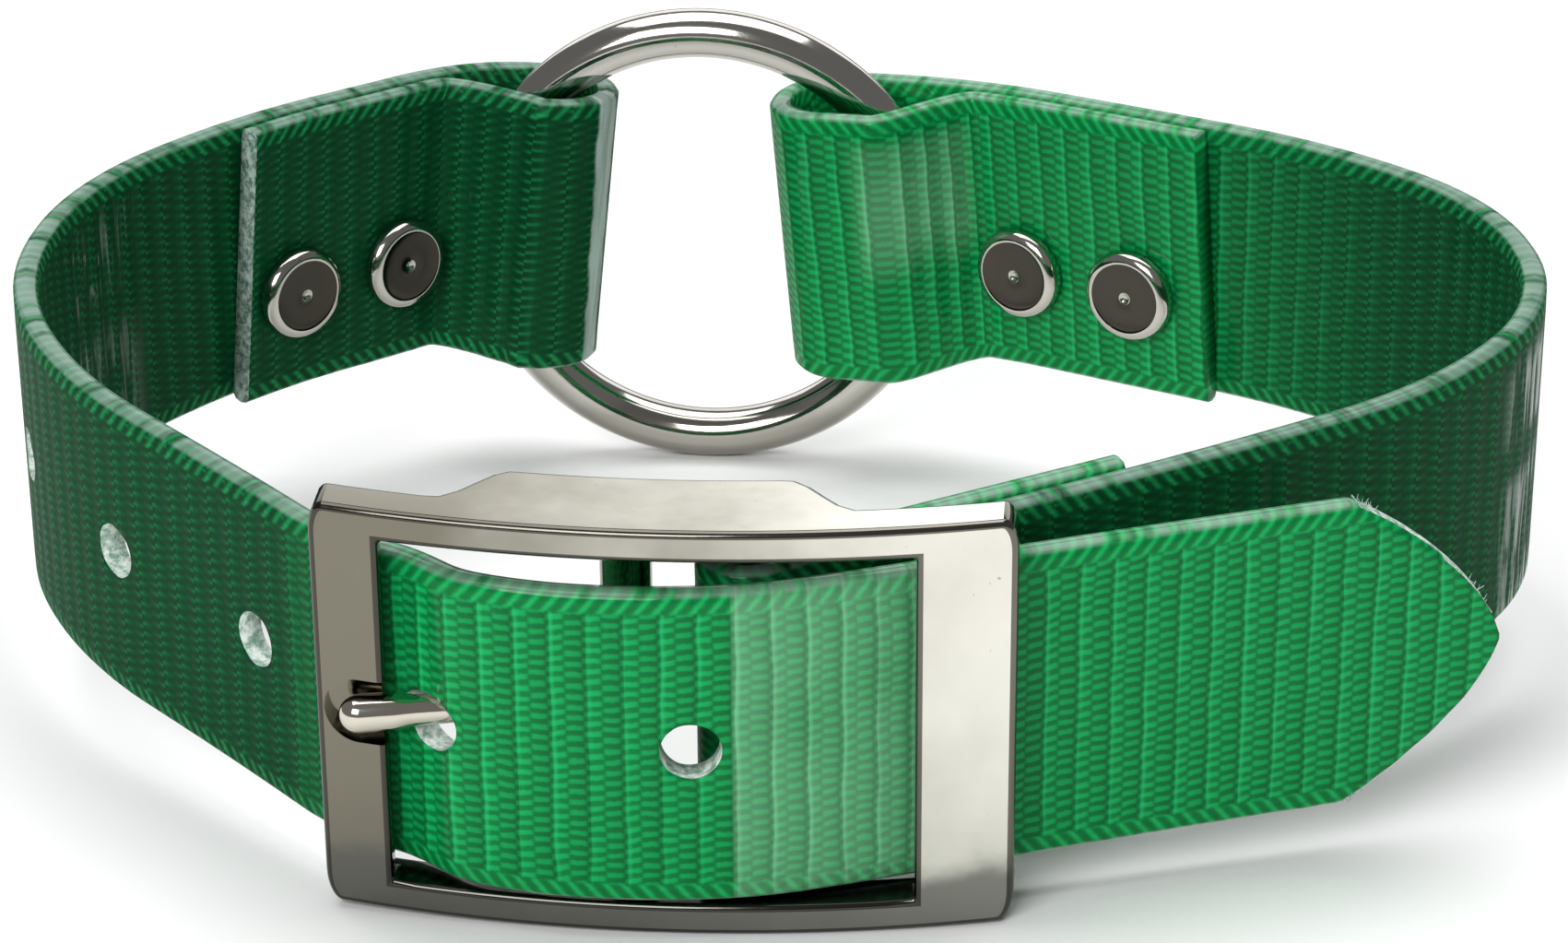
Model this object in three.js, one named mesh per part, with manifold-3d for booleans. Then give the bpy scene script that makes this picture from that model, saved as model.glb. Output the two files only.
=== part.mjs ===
// Dog collar of coated webbing: a long strap with punched holes, a short strap,
// an arched frame buckle with its tongue, a round ring at the back and domed rivets.
// Millimetres. In the collar's own frame X runs to the right, Y to the back, and
// Z = 0 is the middle of the webbing's width. The last group tips the collar back
// until the buckle's lower edge and the ring both touch the surface at Z = 0.
import * as THREE from 'three';
import { mergeVertices } from 'three/addons/utils/BufferGeometryUtils.js';
import Module from 'manifold-3d';

const wasm = await Module();
wasm.setup();

// Webbing
const WEB_WIDTH = 25.4;
const WEB_THICK = 2;
const WEB_EDGE = 0.5;
const LAYER_GAP = 0.4;
const CLEAR = 0.3;
const LAYER_PITCH = WEB_THICK + LAYER_GAP;

// Punched holes and the pointed end of the long strap
const HOLE_DIAMETER = 4.4;
const HOLE_PITCH = 19.05;
const HOLE_COUNT = 5;
const TIP_LENGTH = 12.1;
const TIP_SHOULDER = 2.4;
const TIP_NOSE = 5;
const TIP_SHOULDER_SHARE = 0.38;
const TIP_NOSE_SHARE = 0.92;

// Buckle frame, in its own frame: x along it, y into the collar, z up
const BUCKLE_LENGTH = 50.8;
const BUCKLE_HEIGHT = 33;
const BUCKLE_ARCH = 96;
const BUCKLE_CORNER = 3;
const BUCKLE_TURN = -4.2;
const BUCKLE_RAISE = 0.8;
const RAIL_THICK = 2.5;
const RAIL_DEPTH = 3.7;
const PLATEAU_DEPTH = 8.8;
const PLATEAU_FLAT = 20;
const PLATEAU_X = -1.3;
const PLATEAU_RAMP = 5.4;
const RAIL_ROUND = 0.6;
const LEFT_BAR_WIDTH = 5.2;
const RIGHT_BAR_WIDTH = 7.2;
const BAR_THICK = 2.1;
const BAR_ROUND = 0.7;
const TONGUE_BAR_DIAMETER = 3.8;
const TONGUE_BAR_X = -2.8;
const TONGUE_BAR_Y = 5.6;
const STRAP_BAR_DIAMETER = 3.2;
const STRAP_BAR_X = 5.9;
const STRAP_BAR_Y = 6.9;
const NOTCH_HEIGHT = 5.2;
const NOTCH_LENGTH = 4.6;
const NOTCH_DEPTH = 1.1;

// Tongue
const TONGUE_DIAMETER = 2.3;
const NOSE_DIAMETER = 2.9;
const NOSE_LENGTH = 3.8;
const EYE_WALL = 1.4;
const EYE_HEIGHT = 4;

// Ring
const RING_INNER_DIAMETER = 35;
const RING_WIRE = 4.4;
const RING_SAG = 1.9;

// Rivets
const RIVET_CAP_DIAMETER = 8.3;
const RIVET_CAP_HEIGHT = 1.5;
const RIVET_CAP_ROUND = 0.9;
const RIVET_SHANK_DIAMETER = 3;
const RIVET_DIMPLE_DIAMETER = 0.9;
const RIVET_DIMPLE_DEPTH = 0.25;
const RIVET_PITCH = 11.4;
const RIVET_DROP = 3.2;

// Runs of webbing, from the middle of the buckle's window
const LONG_RUN = 118.2;
const FREE_RUN = 62;
const SHORT_RUN = 159.3;

// Loops round the ring and the strap bar. Distances run back from the middle of the fold:
// where the loop starts and ends closing, the doubled layer's cut end, the nearer rivet
// and the ring's wire. The cut end leans by skew, as a share of its width.
const LONG_LOOP = { width: 11.2, open: 4.8, close: 12, length: 33, rivet: 16.8, ring: 4.6, skew: 0.1 };
const SHORT_LOOP = { width: 10.8, open: 5.2, close: 12.6, length: 35, rivet: 17.1, ring: 5.6, skew: 0.06 };
const BAR_LOOP = { open: 2, close: 10, length: 31, rivet: 14, skew: 0 };

// How the long strap weaves through the window, to the left of the window's middle:
// lengths are shares of the buckle's length, turns and pitches are in degrees.
const WEAVE_ROUTE = [
  { share: 0.156, turn: -9, pitch: 0 },
  { share: 0.156, turn: -15, pitch: 0 },
  { share: 0.058, turn: -23, pitch: 0 },
  { share: 0.039, turn: 2, pitch: 0 },
  { share: 0.058, turn: 13, pitch: 0 },
  { share: 0.078, turn: -8, pitch: 0 },
  { share: 0.117, turn: -13, pitch: 0 },
];
// Round the left side to the ring: shares of LONG_RUN.
const LONG_ROUTE = [
  { share: 0.176, turn: 2, pitch: 0 },
  { share: 0.16, turn: -20, pitch: 0 },
  { share: 0.16, turn: -28, pitch: 0 },
  { share: 0.16, turn: -32, pitch: 0 },
  { share: 0.16, turn: -13, pitch: 2 },
  { share: 0.065, turn: 8, pitch: 3 },
  { share: 0.065, turn: -12, pitch: 3 },
  { share: 0.054, turn: -28, pitch: 0 },
];
// From the window's middle to the free end: shares of FREE_RUN.
const FREE_ROUTE = [
  { share: 0.129, turn: 13, pitch: 0 },
  { share: 0.129, turn: 3, pitch: 0 },
  { share: 0.258, turn: -1, pitch: 0 },
  { share: 0.484, turn: -2, pitch: 0 },
];
// The short strap, from the strap bar round the right side to the ring: shares of SHORT_RUN.
const SHORT_ROUTE = [
  { share: 0.079, turn: -4, pitch: 0 },
  { share: 0.092, turn: 0, pitch: 0 },
  { share: 0.145, turn: 4, pitch: 0 },
  { share: 0.118, turn: 24, pitch: 0 },
  { share: 0.105, turn: 36, pitch: 0 },
  { share: 0.118, turn: 41, pitch: 0 },
  { share: 0.118, turn: 17, pitch: 1 },
  { share: 0.105, turn: -6, pitch: 3 },
  { share: 0.12, turn: 14, pitch: 2 },
];
const WINDOW_HEADING = 182;
const SHORT_HEADING = 32;
const WINDOW_START = new THREE.Vector3(-9, -40.9, 0);
const BUCKLE_CENTRE = new THREE.Vector3(-11.4, -41.3, BUCKLE_RAISE);

// Fineness of the faceted solids
const STEP_LENGTH = 3.6;
const STEP_TURN = 10;
const STATION_MARGIN = 1;
const WELD_DISTANCE = 1e-4;
const TILT_PASSES = 8;
const FOLD_STEPS = 10;
const LOOP_STEPS = 8;
const ROUND_SIDES = 14;
const RING_STEPS = 48;
const RING_SIDES = 9;
const ARCH_STEPS = 14;

const UP = new THREE.Vector3(0, 0, 1);

const coatedWebbing = new THREE.MeshStandardMaterial({
  color: 0x0f7a3a,
  roughness: 0.3,
  metalness: 0,
});
const nickel = new THREE.MeshStandardMaterial({
  color: 0xa8a298,
  roughness: 0.18,
  metalness: 1,
});

function toSolid(geometry) {
  const plain = geometry.index ? geometry.toNonIndexed() : geometry.clone();
  for (const name of Object.keys(plain.attributes)) {
    if (name !== 'position') plain.deleteAttribute(name);
  }
  const merged = mergeVertices(plain, WELD_DISTANCE);
  const vertProperties = new Float32Array(merged.attributes.position.array);
  const triVerts = new Uint32Array(merged.index.array);
  return new wasm.Manifold(new wasm.Mesh({ numProp: 3, vertProperties, triVerts }));
}

function toGeometry(solid) {
  const mesh = solid.getMesh();
  const geometry = new THREE.BufferGeometry();
  geometry.setAttribute('position', new THREE.BufferAttribute(mesh.vertProperties, 3));
  geometry.setIndex(new THREE.BufferAttribute(mesh.triVerts, 1));
  return geometry;
}

function place(geometry, origin, xAxis, yAxis) {
  const zAxis = new THREE.Vector3().crossVectors(xAxis, yAxis);
  const matrix = new THREE.Matrix4().makeBasis(xAxis, yAxis, zAxis).setPosition(origin);
  return geometry.clone().applyMatrix4(matrix);
}

// Routes: stations with a place, the way ahead, the way up the webbing's width and the
// way out of the collar. A pitch dips the way ahead, and the turns after it stay in that plane.

function walk(start, headingDegrees, rows, side) {
  const position = start.clone();
  const up = UP.clone();
  const ahead = new THREE.Vector3(1, 0, 0).applyAxisAngle(up, THREE.MathUtils.degToRad(headingDegrees));
  const left = new THREE.Vector3().crossVectors(up, ahead);
  let distance = 0;
  const here = () => ({
    position: position.clone(),
    ahead: ahead.clone(),
    up: up.clone(),
    out: left.clone().multiplyScalar(side),
    distance,
  });
  const bend = (turn, pitch) => {
    ahead.applyAxisAngle(up, turn);
    left.applyAxisAngle(up, turn);
    ahead.applyAxisAngle(left, pitch);
    up.applyAxisAngle(left, pitch);
  };
  const stations = [here()];
  for (const row of rows) {
    const steps = Math.max(Math.ceil(row.length / STEP_LENGTH), Math.ceil(Math.abs(row.turn) / STEP_TURN));
    const turn = THREE.MathUtils.degToRad(row.turn) / steps / 2;
    const pitch = THREE.MathUtils.degToRad(row.pitch) / steps / 2;
    for (let i = 0; i < steps; i += 1) {
      bend(turn, pitch);
      position.addScaledVector(ahead, row.length / steps);
      bend(turn, pitch);
      distance += row.length / steps;
      stations.push(here());
    }
  }
  return stations;
}

function rowsOf(table, length) {
  return table.map((row) => ({ ...row, length: row.share * length }));
}

function stationAt(stations, distance) {
  const next = stations.findIndex((item) => item.distance >= distance);
  const b = stations[Math.max(next, 1)];
  const a = stations[Math.max(next, 1) - 1];
  const part = (distance - a.distance) / (b.distance - a.distance);
  return {
    position: a.position.clone().lerp(b.position, part),
    ahead: a.ahead.clone().lerp(b.ahead, part).normalize(),
    up: a.up.clone().lerp(b.up, part).normalize(),
    out: a.out.clone().lerp(b.out, part).normalize(),
    distance,
  };
}

function loopWidth(loop, distance) {
  const closed = THREE.MathUtils.smoothstep(distance, loop.open, loop.close);
  return THREE.MathUtils.lerp(loop.width, LAYER_PITCH, closed);
}

// The doubled layer inside a fold at the end of a route, from its cut end to the fold
function foldedLayer(stations, loop) {
  const end = stations[stations.length - 1];
  const inner = [];
  const cut = end.distance - loop.length;
  const closed = end.distance - loop.close;
  const far = stations.filter((item) => (
    item.distance > cut + STATION_MARGIN && item.distance < closed - STATION_MARGIN
  ));
  const near = [];
  for (let i = 0; i <= LOOP_STEPS; i += 1) {
    near.push(stationAt(stations, THREE.MathUtils.lerp(closed, end.distance, i / LOOP_STEPS)));
  }
  for (const item of [{ ...stationAt(stations, cut), skew: loop.skew }, ...far, ...near]) {
    const width = loopWidth(loop, end.distance - item.distance);
    inner.push({ ...item, position: item.position.clone().addScaledVector(item.out, -width) });
  }
  const bend = [];
  for (let i = FOLD_STEPS - 1; i > 0; i -= 1) {
    const angle = (Math.PI * i) / FOLD_STEPS;
    const position = end.position.clone()
      .addScaledVector(end.out, (loop.width / 2) * (Math.cos(angle) - 1))
      .addScaledVector(end.ahead, (loop.width / 2) * Math.sin(angle));
    bend.push({ ...end, position });
  }
  return [...inner, ...bend];
}

// Webbing of rounded section swept along the stations, its width square to the route
function sweepWebbing(stations) {
  const w = WEB_WIDTH / 2;
  const t = WEB_THICK / 2;
  const section = new THREE.Shape([
    new THREE.Vector2(-w, -t + WEB_EDGE),
    new THREE.Vector2(-w + WEB_EDGE, -t),
    new THREE.Vector2(w - WEB_EDGE, -t),
    new THREE.Vector2(w, -t + WEB_EDGE),
    new THREE.Vector2(w, t - WEB_EDGE),
    new THREE.Vector2(w - WEB_EDGE, t),
    new THREE.Vector2(-w + WEB_EDGE, t),
    new THREE.Vector2(-w, t - WEB_EDGE),
  ]);
  const last = stations.length - 1;
  const geometry = new THREE.ExtrudeGeometry(section, { depth: last, steps: last, bevelEnabled: false });
  const frames = stations.map((item, i) => {
    const before = stations[Math.max(i - 1, 0)].position;
    const after = stations[Math.min(i + 1, last)].position;
    const ahead = after.clone().sub(before).normalize();
    const up = item.up.clone().addScaledVector(ahead, -item.up.dot(ahead)).normalize();
    const across = new THREE.Vector3().crossVectors(ahead, up);
    if (item.skew) up.addScaledVector(item.ahead, item.skew);
    return { position: item.position, up, across };
  });
  const points = geometry.attributes.position;
  for (let i = 0; i < points.count; i += 1) {
    const frame = frames[Math.round(points.getZ(i))];
    const point = frame.position.clone()
      .addScaledVector(frame.up, points.getX(i))
      .addScaledVector(frame.across, points.getY(i));
    points.setXYZ(i, point.x, point.y, point.z);
  }
  return toSolid(geometry);
}

function punch(strap, at, diameter, depth) {
  const cutter = new THREE.CylinderGeometry(diameter / 2, diameter / 2, depth, ROUND_SIDES);
  return strap.subtract(toSolid(place(cutter, at.position, at.ahead, at.out)));
}

// What is left of a straight end when its pointed outline is cut: the waste round it
function tipWaste(at) {
  const half = WEB_WIDTH / 2;
  const margin = WEB_WIDTH / 4;
  const waste = new THREE.Shape();
  waste.moveTo(0, half);
  waste.bezierCurveTo(TIP_LENGTH * TIP_SHOULDER_SHARE, half - TIP_SHOULDER, TIP_LENGTH * TIP_NOSE_SHARE, TIP_NOSE, TIP_LENGTH, 0);
  waste.bezierCurveTo(TIP_LENGTH * TIP_NOSE_SHARE, -TIP_NOSE, TIP_LENGTH * TIP_SHOULDER_SHARE, TIP_SHOULDER - half, 0, -half);
  waste.lineTo(0, -half - margin);
  waste.lineTo(TIP_LENGTH + margin, -half - margin);
  waste.lineTo(TIP_LENGTH + margin, half + margin);
  waste.lineTo(0, half + margin);
  const depth = WEB_THICK * 3;
  const geometry = new THREE.ExtrudeGeometry(waste, { depth, bevelEnabled: false, curveSegments: 10 });
  geometry.translate(0, 0, -depth / 2);
  const toTip = at.ahead.clone().negate();
  return toSolid(place(geometry, at.position, toTip, new THREE.Vector3().crossVectors(at.out, toTip)));
}

// The long strap's line, from its tip through the window and round the left side

const freeStations = walk(WINDOW_START, WINDOW_HEADING - 180, rowsOf(FREE_ROUTE, FREE_RUN), -1)
  .reverse()
  .map((item) => ({ ...item, ahead: item.ahead.clone().negate(), distance: -item.distance }));
const leftStations = walk(
  WINDOW_START,
  WINDOW_HEADING,
  [...rowsOf(WEAVE_ROUTE, BUCKLE_LENGTH), ...rowsOf(LONG_ROUTE, LONG_RUN)],
  1,
);
const longStations = [...freeStations, ...leftStations.slice(1)];

// The buckle's own frame and its bars

const buckleTurn = new THREE.Matrix4().makeRotationZ(THREE.MathUtils.degToRad(BUCKLE_TURN))
  .setPosition(BUCKLE_CENTRE);

function fromBuckle(x, y, z) {
  return new THREE.Vector3(x, y, z).applyMatrix4(buckleTurn);
}

function archAt(x) {
  return BUCKLE_ARCH - Math.sqrt(BUCKLE_ARCH ** 2 - x ** 2);
}

const strapBarFold = { ...BAR_LOOP, width: STRAP_BAR_DIAMETER + WEB_THICK + 2 * CLEAR };
const strapBarCentre = fromBuckle(STRAP_BAR_X, STRAP_BAR_Y, -BUCKLE_RAISE);
const shortHeading = THREE.MathUtils.degToRad(SHORT_HEADING);
const shortStart = strapBarCentre.clone().add(
  new THREE.Vector3(Math.sin(shortHeading), -Math.cos(shortHeading), 0)
    .multiplyScalar(strapBarFold.width / 2),
);
const shortStations = walk(shortStart, SHORT_HEADING, rowsOf(SHORT_ROUTE, SHORT_RUN), -1);

// The tongue: an eye round its bar, a straight shank through the strap and a nose in the notch

const eyeInner = TONGUE_BAR_DIAMETER / 2 + CLEAR;
const eyeOuter = eyeInner + EYE_WALL;
const noseX = -BUCKLE_LENGTH / 2 + (LEFT_BAR_WIDTH - NOTCH_LENGTH) + NOSE_LENGTH / 3;
const noseY = archAt(noseX) + NOTCH_DEPTH - 2 * CLEAR - NOSE_DIAMETER / 2;
const tongueRoot = fromBuckle(TONGUE_BAR_X - eyeInner - EYE_WALL / 2, TONGUE_BAR_Y, 0);
const tongueTip = fromBuckle(noseX, noseY, 0);
const tongueLength = tongueRoot.distanceTo(tongueTip);

function tongueShaft(grow) {
  const shank = TONGUE_DIAMETER / 2 + grow;
  const nose = NOSE_DIAMETER / 2 + grow;
  const swell = tongueLength - NOSE_LENGTH;
  const profile = new THREE.Path();
  profile.moveTo(0, 0);
  profile.lineTo(shank, 0);
  profile.lineTo(shank, swell - NOSE_LENGTH / 2);
  profile.lineTo(nose, swell);
  profile.lineTo(nose, tongueLength - nose);
  profile.absarc(0, tongueLength - nose, nose, 0, Math.PI / 2, false);
  const points = profile.getPoints(4);
  points[points.length - 1].x = 0;
  const shaft = new THREE.LatheGeometry(points, ROUND_SIDES);
  const along = tongueTip.clone().sub(tongueRoot).normalize();
  return toSolid(place(shaft, tongueRoot, new THREE.Vector3().crossVectors(along, UP).normalize(), along));
}

function makeTongue() {
  const half = EYE_HEIGHT / 2;
  const edge = EYE_WALL / 4;
  const ring = new THREE.LatheGeometry([
    new THREE.Vector2(eyeInner, -half),
    new THREE.Vector2(eyeOuter - edge, -half),
    new THREE.Vector2(eyeOuter, -half + edge),
    new THREE.Vector2(eyeOuter, half - edge),
    new THREE.Vector2(eyeOuter - edge, half),
    new THREE.Vector2(eyeInner, half),
    new THREE.Vector2(eyeInner, -half),
  ], ROUND_SIDES);
  ring.rotateX(Math.PI / 2);
  const centre = fromBuckle(TONGUE_BAR_X, TONGUE_BAR_Y, 0);
  ring.translate(centre.x, centre.y, centre.z);
  return toSolid(ring).add(tongueShaft(0));
}

// The buckle frame

function railDepth(x) {
  const away = Math.abs(x - PLATEAU_X) - PLATEAU_FLAT / 2;
  const ramp = THREE.MathUtils.smoothstep(away, 0, PLATEAU_RAMP);
  return THREE.MathUtils.lerp(PLATEAU_DEPTH, RAIL_DEPTH, ramp);
}

function archShape(from, to, depthAt, steps) {
  const front = [];
  const back = [];
  for (let i = 0; i <= steps; i += 1) {
    const x = THREE.MathUtils.lerp(from, to, i / steps);
    front.push(new THREE.Vector2(x, archAt(x)));
    back.unshift(new THREE.Vector2(x, archAt(x) + depthAt(x)));
  }
  return new THREE.Shape([...front, ...back]);
}

function makeRail(middle) {
  const shape = archShape(-BUCKLE_LENGTH / 2, BUCKLE_LENGTH / 2, railDepth, ARCH_STEPS * 2);
  const rail = new THREE.ExtrudeGeometry(shape, {
    depth: RAIL_THICK - 2 * RAIL_ROUND,
    bevelEnabled: true,
    bevelThickness: RAIL_ROUND,
    bevelSize: RAIL_ROUND,
    bevelOffset: -RAIL_ROUND,
    bevelSegments: 2,
  });
  rail.translate(0, 0, middle - RAIL_THICK / 2 + RAIL_ROUND);
  return toSolid(rail);
}

function makeBar(from, to) {
  const shape = archShape(from + BAR_ROUND, to - BAR_ROUND, () => BAR_THICK, ARCH_STEPS / 4);
  const height = BUCKLE_HEIGHT - RAIL_THICK;
  const core = new THREE.ExtrudeGeometry(shape, { depth: height, bevelEnabled: false });
  core.translate(0, 0, -height / 2);
  const edges = [from + BAR_ROUND, to - BAR_ROUND].map((x) => {
    const edge = new THREE.CylinderGeometry(BAR_THICK / 2, BAR_THICK / 2, height, ROUND_SIDES);
    edge.rotateX(Math.PI / 2);
    edge.scale(BAR_ROUND / (BAR_THICK / 2), 1, 1);
    edge.translate(x, archAt(x) + BAR_THICK / 2, 0);
    return toSolid(edge);
  });
  return toSolid(core).add(edges[0]).add(edges[1]);
}

function makePin(x, y, diameter) {
  const pin = new THREE.CylinderGeometry(diameter / 2, diameter / 2, BUCKLE_HEIGHT - RAIL_THICK, ROUND_SIDES);
  pin.rotateX(Math.PI / 2);
  pin.translate(x, y, 0);
  return toSolid(pin);
}

function roundedOutline(length, height, corner) {
  const shape = new THREE.Shape();
  const x = length / 2 - corner;
  const z = height / 2 - corner;
  shape.absarc(x, z, corner, 0, Math.PI / 2, false);
  shape.absarc(-x, z, corner, Math.PI / 2, Math.PI, false);
  shape.absarc(-x, -z, corner, Math.PI, 1.5 * Math.PI, false);
  shape.absarc(x, -z, corner, 1.5 * Math.PI, 2 * Math.PI, false);
  return shape;
}

function makeNotch() {
  const open = -BUCKLE_LENGTH / 2 + LEFT_BAR_WIDTH + CLEAR;
  const closed = open - CLEAR - NOTCH_LENGTH;
  const radius = NOTCH_HEIGHT / 2;
  const shape = new THREE.Shape();
  shape.moveTo(open, -radius);
  shape.lineTo(open, radius);
  shape.lineTo(closed + radius, radius);
  shape.absarc(closed + radius, 0, radius, Math.PI / 2, 1.5 * Math.PI, false);
  const depth = BAR_THICK + NOTCH_DEPTH;
  const cutter = new THREE.ExtrudeGeometry(shape, { depth, bevelEnabled: false, curveSegments: 6 });
  cutter.rotateX(Math.PI / 2);
  cutter.translate(0, archAt(closed) + NOTCH_DEPTH, 0);
  return toSolid(cutter);
}

function makeBuckle() {
  const railMiddle = (BUCKLE_HEIGHT - RAIL_THICK) / 2;
  const half = BUCKLE_LENGTH / 2;
  const envelope = new THREE.ExtrudeGeometry(
    roundedOutline(BUCKLE_LENGTH, BUCKLE_HEIGHT, BUCKLE_CORNER),
    { depth: 3 * PLATEAU_DEPTH, bevelEnabled: false, curveSegments: 4 },
  );
  envelope.rotateX(Math.PI / 2);
  envelope.translate(0, 2 * PLATEAU_DEPTH, 0);
  const frame = makeRail(railMiddle)
    .add(makeRail(-railMiddle))
    .add(makeBar(-half, -half + LEFT_BAR_WIDTH))
    .add(makeBar(half - RIGHT_BAR_WIDTH, half))
    .add(makePin(TONGUE_BAR_X, TONGUE_BAR_Y, TONGUE_BAR_DIAMETER))
    .add(makePin(STRAP_BAR_X, STRAP_BAR_Y, STRAP_BAR_DIAMETER))
    .intersect(toSolid(envelope))
    .subtract(makeNotch());
  return toGeometry(frame).applyMatrix4(buckleTurn);
}

// Rivets through two layers

function rivetPlaces(stations, loop) {
  const end = stations[stations.length - 1].distance;
  return [loop.rivet, loop.rivet + RIVET_PITCH].map((back) => {
    const at = stationAt(stations, end - back);
    at.position.addScaledVector(at.out, -LAYER_PITCH / 2).addScaledVector(at.up, -RIVET_DROP);
    return at;
  });
}

function makeRivet(at) {
  const grip = LAYER_PITCH / 2 + WEB_THICK / 2 + LAYER_GAP;
  const top = grip + RIVET_CAP_HEIGHT;
  const cap = RIVET_CAP_DIAMETER / 2;
  const dimple = RIVET_DIMPLE_DIAMETER / 2;
  const half = new THREE.Path();
  half.moveTo(RIVET_SHANK_DIAMETER / 2, grip);
  half.lineTo(cap, grip);
  half.lineTo(cap, top - RIVET_CAP_ROUND);
  half.absarc(cap - RIVET_CAP_ROUND, top - RIVET_CAP_ROUND, RIVET_CAP_ROUND, 0, Math.PI / 2, false);
  half.lineTo(dimple, top);
  half.lineTo(0, top - RIVET_DIMPLE_DEPTH);
  const upper = half.getPoints(2).filter((point, i, all) => i === 0 || point.distanceTo(all[i - 1]) > 1e-6);
  const lower = upper.map((point) => new THREE.Vector2(point.x, -point.y)).reverse();
  const geometry = new THREE.LatheGeometry([...lower, ...upper], ROUND_SIDES);
  return toSolid(place(geometry, at.position, at.ahead, at.out));
}

// Straps

const longRivets = rivetPlaces(longStations, LONG_LOOP);
const shortRivets = rivetPlaces(shortStations, SHORT_LOOP);
const barStations = shortStations.slice().reverse().map((item) => ({
  ...item,
  ahead: item.ahead.clone().negate(),
  distance: -item.distance,
}));
const barRivets = rivetPlaces(barStations, strapBarFold);
const rivetHole = RIVET_SHANK_DIAMETER + 2 * CLEAR;
const rivetReach = 3 * LAYER_PITCH;

function tongueHoleDistance() {
  const middle = tongueRoot.clone().lerp(tongueTip, 0.5);
  const direction = tongueTip.clone().sub(tongueRoot);
  const normal = new THREE.Vector3(-direction.y, direction.x, 0).normalize();
  for (let i = 1; i < leftStations.length; i += 1) {
    const a = leftStations[i - 1];
    const b = leftStations[i];
    const before = normal.dot(a.position.clone().sub(middle));
    const after = normal.dot(b.position.clone().sub(middle));
    if (before > 0 !== after > 0) {
      return THREE.MathUtils.lerp(a.distance, b.distance, before / (before - after));
    }
  }
  return HOLE_PITCH;
}

function makeLongStrap() {
  let strap = sweepWebbing([...longStations, ...foldedLayer(longStations, LONG_LOOP).reverse()]);
  strap = strap.subtract(tipWaste(stationAt(longStations, TIP_LENGTH - FREE_RUN)));
  const used = tongueHoleDistance();
  for (let i = 0; i < HOLE_COUNT; i += 1) {
    const hole = stationAt(longStations, used + (i - 1) * HOLE_PITCH);
    strap = punch(strap, hole, HOLE_DIAMETER, 2 * LAYER_PITCH);
  }
  strap = strap.subtract(tongueShaft(CLEAR));
  for (const at of longRivets) strap = punch(strap, at, rivetHole, rivetReach);
  return toGeometry(strap);
}

function makeShortStrap() {
  let strap = sweepWebbing([
    ...foldedLayer(barStations, strapBarFold),
    ...shortStations,
    ...foldedLayer(shortStations, SHORT_LOOP).reverse(),
  ]);
  for (const at of [...shortRivets, ...barRivets]) strap = punch(strap, at, rivetHole, rivetReach);
  return toGeometry(strap);
}

// Ring

const ringRadius = (RING_INNER_DIAMETER + RING_WIRE) / 2;

// Where the ring's wire passes through a strap's loop
function ringSide(stations, loop) {
  const end = stations[stations.length - 1].distance;
  const at = stationAt(stations, end - loop.ring);
  return at.position.addScaledVector(at.out, -WEB_THICK / 2 - RING_WIRE / 2 - 2 * LAYER_GAP);
}

const longSide = ringSide(longStations, LONG_LOOP);
const shortSide = ringSide(shortStations, SHORT_LOOP);
const ringCentre = longSide.clone().lerp(shortSide, 0.5);
ringCentre.z -= RING_SAG;
const ringTurn = Math.atan2(shortSide.y - longSide.y, shortSide.x - longSide.x);

function makeRing() {
  const ring = new THREE.TorusGeometry(ringRadius, RING_WIRE / 2, RING_SIDES, RING_STEPS);
  ring.rotateX(Math.PI / 2);
  ring.rotateZ(ringTurn);
  ring.translate(ringCentre.x, ringCentre.y, ringCentre.z);
  return ring;
}

// The collar rests on the buckle's lower front edge and the ring's lowest point

function restTilt() {
  const front = new THREE.Vector2(BUCKLE_CENTRE.y, BUCKLE_RAISE - BUCKLE_HEIGHT / 2);
  let tilt = 0;
  for (let i = 0; i < TILT_PASSES; i += 1) {
    const drop = ringRadius * Math.cos(tilt) + RING_WIRE / 2;
    const back = ringCentre.y * Math.sin(tilt) + ringCentre.z * Math.cos(tilt) - drop;
    const fore = front.x * Math.sin(tilt) + front.y * Math.cos(tilt);
    tilt += (fore - back) / (ringCentre.y - front.x);
  }
  return tilt;
}

const collar = new THREE.Group();

function add(name, geometry, material) {
  const mesh = new THREE.Mesh(geometry, material);
  mesh.name = name;
  collar.add(mesh);
}

add('strap_long', makeLongStrap(), coatedWebbing);
add('strap_short', makeShortStrap(), coatedWebbing);
add('ring', makeRing(), nickel);
add('buckle_frame', makeBuckle(), nickel);
add('buckle_tongue', toGeometry(makeTongue()), nickel);
longRivets.forEach((at, i) => add(`rivet_long_${i + 1}`, toGeometry(makeRivet(at)), nickel));
shortRivets.forEach((at, i) => add(`rivet_short_${i + 1}`, toGeometry(makeRivet(at)), nickel));
barRivets.forEach((at, i) => add(`rivet_buckle_${i + 1}`, toGeometry(makeRivet(at)), nickel));

collar.rotation.x = restTilt();
const standing = new THREE.Group();
standing.add(collar);
standing.updateMatrixWorld(true);
const box = new THREE.Box3().setFromObject(standing, true);
standing.position.set(-(box.min.x + box.max.x) / 2, -(box.min.y + box.max.y) / 2, -box.min.z);

export default standing;
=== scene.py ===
"""Dog collar of clear-coated woven webbing with a nickel buckle, ring and rivets."""
import random
from math import asin, cos, floor, pi, radians, sin, sqrt

import bmesh
import bpy
from mathutils import Matrix, Vector


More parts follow.
